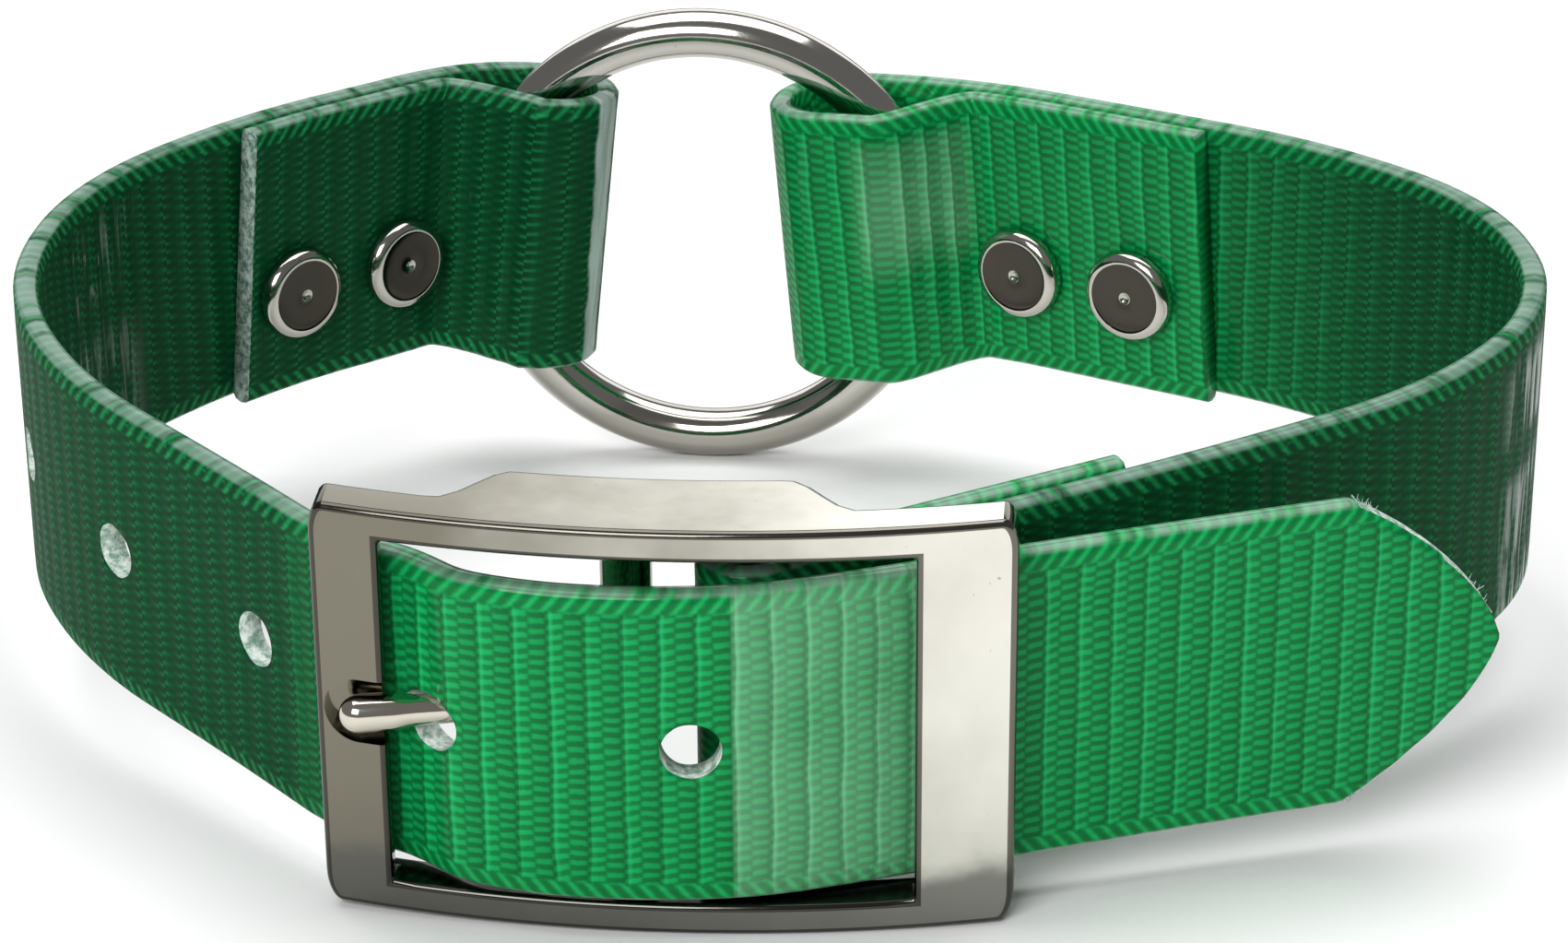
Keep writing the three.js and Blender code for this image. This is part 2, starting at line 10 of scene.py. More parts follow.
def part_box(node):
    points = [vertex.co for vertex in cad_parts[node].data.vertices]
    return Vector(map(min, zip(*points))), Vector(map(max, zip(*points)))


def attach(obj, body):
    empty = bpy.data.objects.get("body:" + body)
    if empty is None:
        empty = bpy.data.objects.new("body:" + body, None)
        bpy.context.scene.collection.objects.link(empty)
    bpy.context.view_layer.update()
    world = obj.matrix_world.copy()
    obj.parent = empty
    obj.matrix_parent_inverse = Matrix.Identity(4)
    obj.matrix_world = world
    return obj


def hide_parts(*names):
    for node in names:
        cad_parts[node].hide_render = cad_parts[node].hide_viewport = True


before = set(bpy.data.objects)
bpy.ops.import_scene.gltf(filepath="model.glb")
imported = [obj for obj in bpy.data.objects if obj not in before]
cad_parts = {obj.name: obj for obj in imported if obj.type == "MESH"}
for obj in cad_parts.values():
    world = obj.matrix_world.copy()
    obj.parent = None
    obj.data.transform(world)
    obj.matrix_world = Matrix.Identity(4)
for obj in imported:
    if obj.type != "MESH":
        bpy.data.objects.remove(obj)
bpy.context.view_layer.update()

# Sizes are in millimetres and angles in degrees. Pieces are made in the collar's own frame,
# with the middle of the webbing's width at zero, and then laid in the object's frame.
METRE = 1000

# Webbing
WIDTH = 25.4
THICK = 2.0
EDGE = 0.55
LAYER_PITCH = 2.4
CLEAR = 0.3
RIB_PITCH = 2.58
THREAD_PITCH = 0.86
RIB_RELIEF = 0.035
HOLE_DIAMETER = 4.4
HOLE_PITCH = 19.05
HOLE_COUNT = 5
TIP_LENGTH = 12.1
TIP_SHOULDER = 2.4
TIP_NOSE = 5.0
FRAYS = 60

# Buckle
BUCKLE_LENGTH = 50.8
BUCKLE_HEIGHT = 33.0
BUCKLE_ARCH = 96.0
BUCKLE_CORNER = 3.0
BUCKLE_TURN = radians(-4.2)
BUCKLE_RAISE = 0.8
RAIL_THICK = 2.5
RAIL_DEPTH = 3.7
PLATEAU_DEPTH = 8.8
PLATEAU_FLAT = 20.0
PLATEAU_X = -1.3
PLATEAU_RAMP = 5.4
LEFT_BAR = 5.2
RIGHT_BAR = 7.2
BAR_THICK = 2.1
TONGUE_PIN = (-2.8, 5.6, 3.8)
STRAP_PIN = (5.9, 6.9, 3.2)
NOTCH_HEIGHT = 5.2
NOTCH_LENGTH = 4.6
NOTCH_DEPTH = 1.1
SHANK = 2.3
NOSE = 2.9
NOSE_LENGTH = 3.8
EYE_WALL = 1.4
EYE_HEIGHT = 4.0

# Ring and rivets
RING_INNER = 35.0
RING_WIRE = 4.4
RING_SAG = 1.9
CAP_DIAMETER = 8.3
CAP_HEIGHT = 1.5
CAP_ROUND = 0.9
RIVET_SHANK = 3.0
RIVET_PITCH = 11.4
RIVET_DROP = 3.2

# Runs of webbing: length share, turn and pitch in degrees
LONG_RUN = 118.2
FREE_RUN = 62.0
SHORT_RUN = 159.3
WEAVE_ROUTE = [(0.156, -9, 0), (0.156, -15, 0), (0.058, -23, 0), (0.039, 2, 0), (0.058, 13, 0),
               (0.078, -8, 0), (0.117, -13, 0)]
LONG_ROUTE = [(0.176, 2, 0), (0.16, -20, 0), (0.16, -28, 0), (0.16, -32, 0), (0.16, -13, 2),
              (0.065, 8, 3), (0.065, -12, 3), (0.054, -28, 0)]
FREE_ROUTE = [(0.129, 13, 0), (0.129, 3, 0), (0.258, -1, 0), (0.484, -2, 0)]
SHORT_ROUTE = [(0.079, -4, 0), (0.092, 0, 0), (0.145, 4, 0), (0.118, 24, 0), (0.105, 36, 0),
               (0.118, 41, 0), (0.118, 17, 1), (0.105, -6, 3), (0.12, 14, 2)]
LONG_LOOP = {"width": 11.2, "open": 4.8, "close": 12.0, "length": 33.0, "rivet": 16.8, "ring": 4.6, "skew": 0.1}
SHORT_LOOP = {"width": 10.8, "open": 5.2, "close": 12.6, "length": 35.0, "rivet": 17.1, "ring": 5.6, "skew": 0.06}
BAR_LOOP = {"width": 3.2 + THICK + 2 * CLEAR, "open": 2.0, "close": 10.0, "length": 31.0, "rivet": 14.0, "skew": 0}
WINDOW_HEADING = 182
SHORT_HEADING = 32
WINDOW_START = Vector((-9, -40.9, 0))
BUCKLE_CENTRE = Vector((-11.4, -41.3, BUCKLE_RAISE))
UP = Vector((0, 0, 1))
STEP = 0.5
TILT_PASSES = 8


def smoothstep(value, low, high):
    share = min(max((value - low) / (high - low), 0), 1)
    return share * share * (3 - 2 * share)


def mix(a, b, share):
    return a + (b - a) * share


# Routes of the webbing

def walk(start, heading, rows, side):
    """Stations along a route: (distance, place, ahead, up, out)."""
    place = start.copy()
    up = UP.copy()
    ahead = Vector((cos(radians(heading)), sin(radians(heading)), 0))
    left = up.cross(ahead)
    distance = 0
    stations = [(distance, place.copy(), ahead.copy(), up.copy(), left * side)]
    for length, turn, pitch in rows:
        steps = max(round(length / STEP), round(abs(turn) / 2), 1)
        for _ in range(steps):
            for half in range(2):
                yaw = Matrix.Rotation(radians(turn) / steps / 2, 3, up)
                ahead, left = yaw @ ahead, yaw @ left
                dip = Matrix.Rotation(radians(pitch) / steps / 2, 3, left)
                ahead, up = dip @ ahead, dip @ up
                if half == 0:
                    place += ahead * (length / steps)
            distance += length / steps
            stations.append((distance, place.copy(), ahead.copy(), up.copy(), left * side))
    return stations


def sized(table, length):
    return [(share * length, turn, pitch) for share, turn, pitch in table]


def backwards(stations):
    return [(-d, p, -a, u, o) for d, p, a, u, o in reversed(stations)]


def station_at(stations, distance):
    low, high = 0, len(stations) - 1
    while high - low > 1:
        middle = (low + high) // 2
        if stations[middle][0] < distance:
            low = middle
        else:
            high = middle
    a, b = stations[low], stations[high]
    share = (distance - a[0]) / (b[0] - a[0])
    place = a[1].lerp(b[1], share)
    return (distance, place, *(a[k].lerp(b[k], share).normalized() for k in (2, 3, 4)))


def loop_width(loop, distance):
    return mix(loop["width"], LAYER_PITCH, smoothstep(distance, loop["open"], loop["close"]))


def folded_layer(stations, loop):
    """The doubled layer from its cut end to the fold, as (place, up) pairs."""
    end, at, ahead, up, out = stations[-1]
    layer = []
    steps = round(loop["length"] / STEP)
    for i in range(steps + 1):
        back = loop["length"] * (1 - i / steps)
        _, place, here, tall, away = station_at(stations, end - back)
        lean = loop["skew"] * (1 - i / steps) ** 2
        layer.append((place - away * loop_width(loop, back), (tall + here * lean)))
    half = loop["width"] / 2
    turns = round(pi * half / STEP)
    for i in range(turns - 1, 0, -1):
        angle = pi * i / turns
        layer.append((at + out * half * (cos(angle) - 1) + ahead * half * sin(angle), up))
    return layer


free = backwards(walk(WINDOW_START, WINDOW_HEADING - 180, sized(FREE_ROUTE, FREE_RUN), -1))
left_side = walk(WINDOW_START, WINDOW_HEADING,
                 sized(WEAVE_ROUTE, BUCKLE_LENGTH) + sized(LONG_ROUTE, LONG_RUN), 1)
long_stations = free + left_side[1:]

buckle_turn = Matrix.Translation(BUCKLE_CENTRE) @ Matrix.Rotation(BUCKLE_TURN, 4, "Z")


def arch_at(x):
    return BUCKLE_ARCH - sqrt(BUCKLE_ARCH ** 2 - x ** 2)


strap_pin = buckle_turn @ Vector((STRAP_PIN[0], STRAP_PIN[1], -BUCKLE_RAISE))
short_side = Vector((sin(radians(SHORT_HEADING)), -cos(radians(SHORT_HEADING)), 0))
short_stations = walk(strap_pin + short_side * BAR_LOOP["width"] / 2, SHORT_HEADING,
                      sized(SHORT_ROUTE, SHORT_RUN), -1)
bar_stations = backwards(short_stations)

tongue_pin = buckle_turn @ Vector((TONGUE_PIN[0], TONGUE_PIN[1], 0))
eye_inner = TONGUE_PIN[2] / 2 + CLEAR
nose_x = -BUCKLE_LENGTH / 2 + LEFT_BAR - NOTCH_LENGTH + NOSE_LENGTH / 3
nose_y = arch_at(nose_x) + NOTCH_DEPTH - 2 * CLEAR - NOSE / 2
tongue_root = buckle_turn @ Vector((TONGUE_PIN[0] - eye_inner - EYE_WALL / 2, TONGUE_PIN[1], 0))
tongue_tip = buckle_turn @ Vector((nose_x, nose_y, 0))


def tongue_hole():
    """How far along the long strap, from the window's middle, the tongue passes through."""
    middle = (tongue_root + tongue_tip) / 2
    along = (tongue_tip - tongue_root).normalized()
    normal = Vector((-along.y, along.x, 0))
    before = None
    for distance, place, *_ in left_side:
        height = normal.dot(place - middle)
        if before is not None and before * height < 0:
            return distance
        before = height
    return HOLE_PITCH


def ring_side(stations, loop):
    _, place, ahead, up, out = station_at(stations, stations[-1][0] - loop["ring"])
    return place - out * (THICK / 2 + RING_WIRE / 2 + 0.8)


left_of_ring = ring_side(long_stations, LONG_LOOP)
right_of_ring = ring_side(short_stations, SHORT_LOOP)
ring_centre = (left_of_ring + right_of_ring) / 2 - UP * RING_SAG
ring_radius = (RING_INNER + RING_WIRE) / 2


def rest_tilt():
    """How far the collar tips back on to the buckle's lower front edge and the ring's lowest point."""
    edge = BUCKLE_RAISE - BUCKLE_HEIGHT / 2
    tilt = 0
    for _ in range(TILT_PASSES):
        drop = ring_radius * cos(tilt) + RING_WIRE / 2
        back = ring_centre.y * sin(tilt) + ring_centre.z * cos(tilt) - drop
        fore = BUCKLE_CENTRE.y * sin(tilt) + edge * cos(tilt)
        tilt += (fore - back) / (ring_centre.y - BUCKLE_CENTRE.y)
    return tilt


# The tipped collar is moved so that its ring lies on the solid ring.
tipped = Matrix.Rotation(rest_tilt(), 4, "X")
ring_low, ring_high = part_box("ring")
shift = (ring_low + ring_high) / 2 * METRE - tipped @ ring_centre
to_object = Matrix.Scale(1 / METRE, 4) @ Matrix.Translation(shift) @ tipped


# Materials

class Shade:
    """A socket that adds Math nodes when it is used in an expression."""

    def __init__(self, tree, socket):
        self.tree = tree
        self.socket = socket

    def math(self, operation, *others):
        node = self.tree.nodes.new("ShaderNodeMath")
        node.operation = operation
        for place, value in enumerate((self, *others)):
            if isinstance(value, Shade):
                self.tree.links.new(value.socket, node.inputs[place])
            else:
                node.inputs[place].default_value = value
        return Shade(self.tree, node.outputs[0])

    def __add__(self, other):
        return self.math("ADD", other)

    __radd__ = __add__

    def __sub__(self, other):
        return self.math("SUBTRACT", other)

    def __rsub__(self, other):
        return (self * -1) + other

    def __mul__(self, other):
        return self.math("MULTIPLY", other)

    __rmul__ = __mul__

    def __truediv__(self, other):
        return self.math("DIVIDE", other)

    def __pow__(self, power):
        return self.math("POWER", power)

    def wave(self):
        return self.math("COSINE") * 0.5 + 0.5

    def between(self, low, high):
        node = self.tree.nodes.new("ShaderNodeMapRange")
        node.interpolation_type = "SMOOTHSTEP"
        node.inputs["From Min"].default_value = low
        node.inputs["From Max"].default_value = high
        self.tree.links.new(self.socket, node.inputs["Value"])
        return Shade(self.tree, node.outputs["Result"])


class Finish:
    """One material and the nodes that it is made of."""

    def __init__(self, name):
        self.material = bpy.data.materials.new(name)
        self.material.use_nodes = True
        self.tree = self.material.node_tree
        self.tree.nodes.clear()
        self.shader = self.tree.nodes.new("ShaderNodeBsdfPrincipled")
        output = self.tree.nodes.new("ShaderNodeOutputMaterial")
        self.tree.links.new(self.shader.outputs["BSDF"], output.inputs["Surface"])

    def node(self, kind, settings=(), values=(), result=0):
        node = self.tree.nodes.new(kind)
        for name, value in dict(settings).items():
            setattr(node, name, value)
        for name, value in dict(values).items():
            self.feed(node.inputs[name], value)
        return Shade(self.tree, node.outputs[result])

    def feed(self, socket, value):
        if isinstance(value, Shade):
            self.tree.links.new(value.socket, socket)
        else:
            socket.default_value = value

    def blend(self, share, low, high):
        node = self.tree.nodes.new("ShaderNodeMix")
        node.data_type = "RGBA"
        self.feed(node.inputs[0], share)
        self.feed(node.inputs[6], low)
        self.feed(node.inputs[7], high)
        return Shade(self.tree, node.outputs[2])

    def noise(self, where, scale, detail=2, rough=0.5):
        values = {"Vector": where, "Scale": scale, "Detail": detail, "Roughness": rough}
        return self.node("ShaderNodeTexNoise", values=values)

    def bump(self, height, distance, strength=1.0):
        values = {"Height": height, "Distance": distance, "Strength": strength}
        return self.node("ShaderNodeBump", values=values)

    def set(self, **sockets):
        for name, value in sockets.items():
            self.feed(self.shader.inputs[name.replace("_", " ")], value)


def coated_webbing(name, painted_sheen, streaked, painted_shade, clear_fold=None):
    """Green woven webbing under a clear coating; the map is in millimetres.

    A painted sheen lightens one patch, standing in for a reflection on the coating: start, end, softness,
    face, and its reach across. It is glossy in streaks over another stretch. Painted shade darkens the
    webbing over the stretch that faces away from the light: start, full depth, end of it and how deep.
    A clear fold shows the coating alone.
    """
    f = Finish(name)
    flat = f.node("ShaderNodeUVMap", {"uv_map": "flat"})
    split = f.node("ShaderNodeSeparateXYZ", values={"Vector": flat}).socket.node
    along, across = Shade(f.tree, split.outputs[0]), Shade(f.tree, split.outputs[1])
    sides = f.node("ShaderNodeUVMap", {"uv_map": "side"})
    inner = Shade(f.tree, f.node("ShaderNodeSeparateXYZ", values={"Vector": sides}).socket.node.outputs[0])
    drift = f.noise(flat, 0.22, 2) - 0.5
    fine = f.noise(flat, 3.2, 3, 0.6) - 0.5
    streaky = f.noise(f.node("ShaderNodeVectorMath", {"operation": "MULTIPLY"}, {0: flat, 1: (1.6, 0.12, 1)}), 0.7, 3)
    broad = f.noise(flat, 0.06, 2)
    bent = along + drift * 0.5
    half = RIB_PITCH / 2
    odd = (bent / half).math("FLOOR").math("PINGPONG", 1)
    in_column = (bent / half).math("FRACT")
    threads = (((across + drift * 0.9 + in_column * 0.12) / THREAD_PITCH + odd * 0.5) * (2 * pi)).wave()
    rib = ((bent / RIB_PITCH) * (2 * pi)).wave()
    louvre = (bent / RIB_PITCH + 0.1).math("FRACT")
    seam = ((bent / RIB_PITCH) * (2 * pi) + 0.9).wave() ** 22
    column_edge = (in_column - 0.5).math("ABSOLUTE").between(0.5, 0.3)
    dash = (threads + fine * 0.9).between(0.15, 0.9) * (column_edge * 0.55 + 0.45)
    reach = across.math("ABSOLUTE")
    selvedge = reach.between(10.9, 11.3)
    # The coating's clear rim along both edges, paler and glossier; its pale colour also serves as a painted highlight
    # line along the top edge.
    clear_edge_and_highlight = reach.between(12.2, 12.5) * f.noise(flat, 0.5, 3).between(0.3, 0.55)
    scallop = (((along + reach * 0.8 + fine * 0.3) / half) * (2 * pi)).wave() ** 2
    dark = f.blend(louvre, (0.0005, 0.1, 0.022, 1), (0.001, 0.19, 0.044, 1))
    lit = f.blend(louvre, (0.0012, 0.22, 0.052, 1), (0.005, 0.37, 0.098, 1))
    body = f.blend(dash, dark, lit)
    body = f.blend(seam * streaky.between(0.35, 0.6) * 0.4, body, (0.016, 0.5, 0.16, 1))
    border = f.blend(scallop, (0.001, 0.15, 0.034, 1), (0.006, 0.36, 0.09, 1))
    green = f.blend(selvedge, body, border)
    
    # Painted shade: the green darkens over the stretch whose faces turn away from the light, with less coat and bump
    # there.
    depth = along.between(painted_shade[0], painted_shade[1]) * along.between(painted_shade[3], painted_shade[2]) * painted_shade[4]
    dot = (threads ** 4) * (rib ** 3) * 0.5
    painted_shade_green = f.blend(dot + selvedge * scallop * 0.6, (0.0016, 0.028, 0.011, 1), (0.012, 0.24, 0.075, 1))
    green = f.blend(depth, green, painted_shade_green)
    # Pale clear rim, partly a painted highlight line.
    green = f.blend(clear_edge_and_highlight * 0.5, green, (0.26, 0.38, 0.32, 1))
    # Painted sheen: a pale patch on one face stands in for a reflection on the coating.
    start, end, soft, side, low, high = painted_sheen
    sheen_patch = along.between(start - soft, start) * along.between(end + soft, end)
    sheen_patch = sheen_patch * (across + (broad - 0.5) * 12).between(low - 3, low + 3) * across.between(high + 2, high)
    sheen_patch = sheen_patch * (inner if side else 1 - inner) * (broad.between(0.25, 0.6) * 0.5 + 0.5)
    sheen_patch = sheen_patch * (seam * 0.12 + louvre * 0.14 + 0.15)
    green = f.blend(sheen_patch, green, (0.34, 0.62, 0.42, 1))
    inside = along.between(streaked[0] - 3, streaked[0]) * along.between(streaked[1] + 3, streaked[1])
    patches = across.between(1, -2) + across.between(2, 4) * across.between(11, 8)
    gloss = inside * inner * patches * streaky.between(0.46, 0.54)
    if clear_fold:
        band = (along + drift).between(clear_fold[0], clear_fold[0] + 0.5)
        band = band * (along - across * 0.03 + drift).between(clear_fold[1] + 0.5, clear_fold[1])
        green = f.blend(band * (streaky.between(0.3, 0.6) * 0.3 + 0.45), green, (0.62, 0.74, 0.7, 1))
    height = rib * 0.7 + threads * column_edge * 0.35 + fine * 0.15
    f.set(Base_Color=green, Roughness=0.7, Specular_IOR_Level=0.05, Coat_Weight=gloss * 0.7 + 0.24 - depth * 0.21 + clear_edge_and_highlight * 0.4,
          Coat_Roughness=0.06, Coat_IOR=1.45, Normal=f.bump(height * (1 - depth * 0.6), 0.00016, 0.7))
    return f.material


def cut_fibre(name, low, high):
    """The pale fibrous edge that a cut leaves."""
    f = Finish(name)
    place = f.node("ShaderNodeTexCoord", result=3)
    grain = f.noise(place, 1400, 4, 0.7)
    colour = f.blend(grain.between(0.35, 0.65), low, high)
    f.set(Base_Color=colour, Roughness=0.75, Normal=f.bump(grain, 0.0002, 0.9))
    return f.material


def polished_nickel(name, left, right, foot):
    """Polished nickel plate: a painted reflection runs its tone from left to right, darker towards the foot, with
    smears and specks.
    """
    f = Finish(name)
    place = f.node("ShaderNodeTexCoord", result=3)
    split = f.node("ShaderNodeSeparateXYZ", values={"Vector": place}).socket.node
    x, z = Shade(f.tree, split.outputs[0]), Shade(f.tree, split.outputs[2])
    smear = f.noise(place, 90, 4, 0.6)
    speck = f.noise(place, 1500, 2, 0.5).between(0.74, 0.8)
    dull = f.noise(place, 420, 5, 0.7).between(0.62, 0.75)
    # Painted reflection: the tone ramps across the piece from the left colour to the right one. The next line darkens
    # it towards the foot.
    tone = (x + (smear - 0.5) * 0.03).between(-0.030, 0.022)
    low = (z + (smear - 0.5) * 0.006).between(0.006, 0.0035)
    colour = f.blend(tone, left, right)
    colour = f.blend(low * 0.8, colour, foot)
    colour = f.blend(speck * 0.5, colour, (0.14, 0.12, 0.09, 1))
    rough = smear.between(0.3, 0.8) * 0.05 + dull * 0.06 + 0.1
    f.set(Base_Color=colour, Metallic=1.0, Roughness=rough, Normal=f.bump(smear, 0.0003, 0.12))
    return f.material


def pale_floor():
    f = Finish("pale_floor")
    place = f.node("ShaderNodeTexCoord", result=3)
    tone = f.noise(place, 3, 2)
    f.set(Base_Color=f.blend(tone, (0.86, 0.86, 0.86, 1), (0.9, 0.9, 0.9, 1)), Roughness=0.8)
    return f.material


# Each webbing gets a painted sheen patch and a stretch of painted shade; its glossy streaks are real coat.
long_finish = coated_webbing("long_webbing", (43, 59.2, 0.3, 0, -20, 20), (160, 167), (86, 98, 290, 300, 0.88), (224.4, 226.6))
short_finish = coated_webbing("short_webbing", (222, 230, 2.5, 1, 0, 9), (112, 118), (20, 45, 142, 182, 0.85))
fibre_finish = cut_fibre("cut_fibre", (0.16, 0.30, 0.22, 1), (0.72, 0.78, 0.74, 1))
end_finish = cut_fibre("cut_end", (0.03, 0.10, 0.06, 1), (0.34, 0.42, 0.38, 1))
# The buckle's nickel runs from dark at the left to bright at the right: a painted reflection.
buckle_finish = polished_nickel("buckle_nickel", (0.19, 0.178, 0.14, 1), (0.76, 0.74, 0.67, 1), (0.12, 0.12, 0.11, 1))
# Darker nickel for the buckle's bevels and side faces: a painted dark reflection.
edge_shade_finish = polished_nickel("buckle_edge_shade", (0.07, 0.065, 0.055, 1), (0.16, 0.15, 0.13, 1), (0.05, 0.05, 0.045, 1))
tongue_finish = polished_nickel("tongue_nickel", (0.62, 0.58, 0.5, 1), (0.62, 0.58, 0.5, 1), (0.5, 0.46, 0.4, 1))
ring_finish = polished_nickel("ring_nickel", (0.50, 0.48, 0.44, 1), (0.50, 0.48, 0.44, 1), (0.36, 0.34, 0.3, 1))
rim_finish = polished_nickel("rivet_nickel", (0.45, 0.43, 0.39, 1), (0.55, 0.52, 0.47, 1), (0.3, 0.3, 0.3, 1))
# Near-black nickel for the rivets' flat tops: a painted dark reflection.
flat_reflection_finish = polished_nickel("rivet_flat_painted_reflection", (0.045, 0.04, 0.033, 1), (0.065, 0.058, 0.048, 1), (0.05, 0.05, 0.05, 1))


# Pieces

def finished(name, shape, materials, slot, nodes, place=to_object, smooth=True):
    """Make an object of a bmesh in the collar's frame and let it stand for its nodes."""
    shape.transform(place)
    mesh = bpy.data.meshes.new(name)
    shape.to_mesh(mesh)
    shape.free()
    piece = bpy.data.objects.new(name, mesh)
    bpy.context.scene.collection.objects.link(piece)
    for material in materials:
        mesh.materials.append(material)
    for face in mesh.polygons:
        face.use_smooth = smooth
    if slot:
        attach(piece, "root")
    if nodes:
        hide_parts(*nodes)
    return piece


def outward(shape):
    """Turn every face outwards: a piece left inside out would be filled by a cut, not cut."""
    bmesh.ops.recalc_face_normals(shape, faces=shape.faces)
    if shape.calc_volume(signed=True) < 0:
        bmesh.ops.reverse_faces(shape, faces=shape.faces)


def cut(piece, cutter):
    """Take the cutter out of a piece and throw the cutter away."""
    knife = piece.modifiers.new("cut", "BOOLEAN")
    knife.operation = "DIFFERENCE"
    knife.solver = "EXACT"
    knife.object = cutter
    with bpy.context.temp_override(object=piece, active_object=piece, selected_objects=[piece]):
        bpy.ops.object.modifier_apply(modifier=knife.name)
    bpy.data.objects.remove(cutter)


def loose(name, shape):
    mesh = bpy.data.meshes.new(name)
    shape.to_mesh(mesh)
    shape.free()
    item = bpy.data.objects.new(name, mesh)
    bpy.context.scene.collection.objects.link(item)
    return item


def section_points():
    """The webbing's rounded section, as (across, out) pairs round it."""
    flat = WIDTH / 2 - EDGE
    side = THICK / 2
    points = [(mix(-flat, flat, i / 15), side) for i in range(16)]
    for i in range(1, 4):
        angle = pi / 2 - pi * i / 4
        points.append((flat + EDGE * cos(angle), side * sin(angle)))
    points += [(mix(flat, -flat, i / 15), -side) for i in range(16)]
    for i in range(1, 4):
        angle = -pi / 2 - pi * i / 4
        points.append((-flat + EDGE * cos(angle), side * sin(angle)))
    return points


def tip_share(back):
    """How much of the width is left, this far from the tip."""
    if back >= TIP_LENGTH:
        return 1
    low, high = 0.0, 1.0
    for _ in range(30):
        t = (low + high) / 2
        reach = 3 * (1 - t) ** 2 * t * TIP_LENGTH * 0.38 + 3 * (1 - t) * t * t * TIP_LENGTH * 0.92 + t ** 3 * TIP_LENGTH
        if reach < TIP_LENGTH - back:
            low = t
        else:
            high = t
    t = low
    half = WIDTH / 2
    width = (1 - t) ** 3 * half + 3 * (1 - t) ** 2 * t * (half - TIP_SHOULDER) + 3 * (1 - t) * t * t * TIP_NOSE
    return width / half


def make_frays(line):
    """Fine loose threads standing off the pointed end's cut edge."""
    chance = random.Random(7)
    shape = bmesh.new()
    for _ in range(FRAYS):
        x = chance.choice((chance.uniform(0.1, 2.5), chance.uniform(TIP_LENGTH - 2, TIP_LENGTH - 0.2)))
        side = chance.choice((-1, 1))
        y = side * tip_share(x) * WIDTH / 2
        lean = Matrix.Rotation(chance.uniform(-0.9, 0.9), 4, "Z") @ Matrix.Rotation(chance.uniform(-0.5, 0.5), 4, "X")
        length = chance.uniform(0.5, 1.3)
        spot = Matrix.Translation((x, y, chance.uniform(-0.7, 0.7))) @ lean @ Matrix.Rotation(-side * pi / 2, 4, "X")
        bmesh.ops.create_cone(shape, cap_ends=True, segments=5, radius1=0.06, radius2=0.02, depth=length,
                              matrix=spot)
    bend(shape, line)
    return finished("tip_frays", shape, [fibre_finish], "webbing", [])


def running_lengths(line):
    lengths = [0.0]
    for a, b in zip(line, line[1:]):
        lengths.append(lengths[-1] + (b[0] - a[0]).length)
    return lengths


def length_of(line):
    return running_lengths(line)[-1]


def bend(shape, line):
    """Carry flat points on to the line."""
    lengths = running_lengths(line)
    directions = []
    for i, (place, up) in enumerate(line):
        ahead = (line[min(i + 1, len(line) - 1)][0] - line[max(i - 1, 0)][0]).normalized()
        directions.append((ahead, up.normalized()))
    index = 0
    for vertex in sorted(shape.verts, key=lambda v: v.co.x):
        x = vertex.co.x
        while index < len(lengths) - 2 and lengths[index + 1] < x:
            index += 1
        share = (x - lengths[index]) / (lengths[index + 1] - lengths[index])
        place = line[index][0].lerp(line[index + 1][0], share)
        ahead = directions[index][0].lerp(directions[index + 1][0], share).normalized()
        tall = directions[index][1].lerp(directions[index + 1][1], share)
        vertex.co = place + tall * vertex.co.y + ahead.cross(tall).normalized() * vertex.co.z


def webbing(name, line, holes, rivets, pointed, finish):
    """Weave a strap flat, cut and punch it, then bend it along its line of (place, up)."""
    total = length_of(line)
    section = section_points()
    count = len(section)
    steps = round(total / (RIB_PITCH / 8))
    shape = bmesh.new()
    bmesh.ops.create_grid(shape, x_segments=steps, y_segments=count, size=0.5)
    for vertex in shape.verts:
        share = vertex.co.x + 0.5
        wide, high = section[round((vertex.co.y + 0.5) * count) % count]
        x = total * share
        if pointed and x < TIP_LENGTH:
            wide *= max(tip_share(x), 0.02)
        fade = smoothstep(WIDTH / 2 - abs(wide), 0.4, 1.6)
        relief = RIB_RELIEF * fade * cos(2 * pi * x / RIB_PITCH)
        vertex.co = Vector((x, wide, high + (relief if high > 0 else -relief)))
    bmesh.ops.remove_doubles(shape, verts=shape.verts, dist=0.001)
    rims = [edge for edge in shape.edges if edge.is_boundary]
    bmesh.ops.holes_fill(shape, edges=rims)
    outward(shape)
    piece = loose("flat_" + name, shape)
    punches = bmesh.new()
    for x, y, diameter in holes + rivets:
        bmesh.ops.create_cone(punches, cap_ends=True, segments=48, radius1=diameter / 2, radius2=diameter / 2,
                              depth=4 * THICK, matrix=Matrix.Translation((x, y, 0)))
    cut(piece, loose("punches", punches))
    shape = bmesh.new()
    shape.from_mesh(piece.data)
    flat = shape.loops.layers.uv.new("flat")
    inner = shape.loops.layers.uv.new("side")
    walls = [(x, y, diameter / 2) for x, y, diameter in holes + rivets]
    for face in shape.faces:
        face.smooth = True
        middle = face.calc_center_median()
        for loop in face.loops:
            loop[flat].uv = (loop.vert.co.x, loop.vert.co.y)
            loop[inner].uv = (1.0 if middle.z > 0 else 0.0, 0)
        side_on = abs(face.normal.z) < 0.5
        at_hole = any(abs((middle - Vector((x, y, middle.z))).length - r) < 0.15 for x, y, r in walls)
        at_tip = pointed and middle.x < TIP_LENGTH - 0.4
        at_end = pointed and middle.x > total - 0.02
        if side_on and (at_hole or at_tip):
            face.material_index = 1
        elif side_on and at_end:
            face.material_index = 2
    bend(shape, line)
    old = piece.data
    bpy.data.objects.remove(piece)
    bpy.data.meshes.remove(old)
    piece = finished(name + "_woven", shape, [finish, fibre_finish, end_finish], "webbing", [name])
    return piece


def line_of(stations):
    return [(place, up) for _, place, _, up, _ in stations]


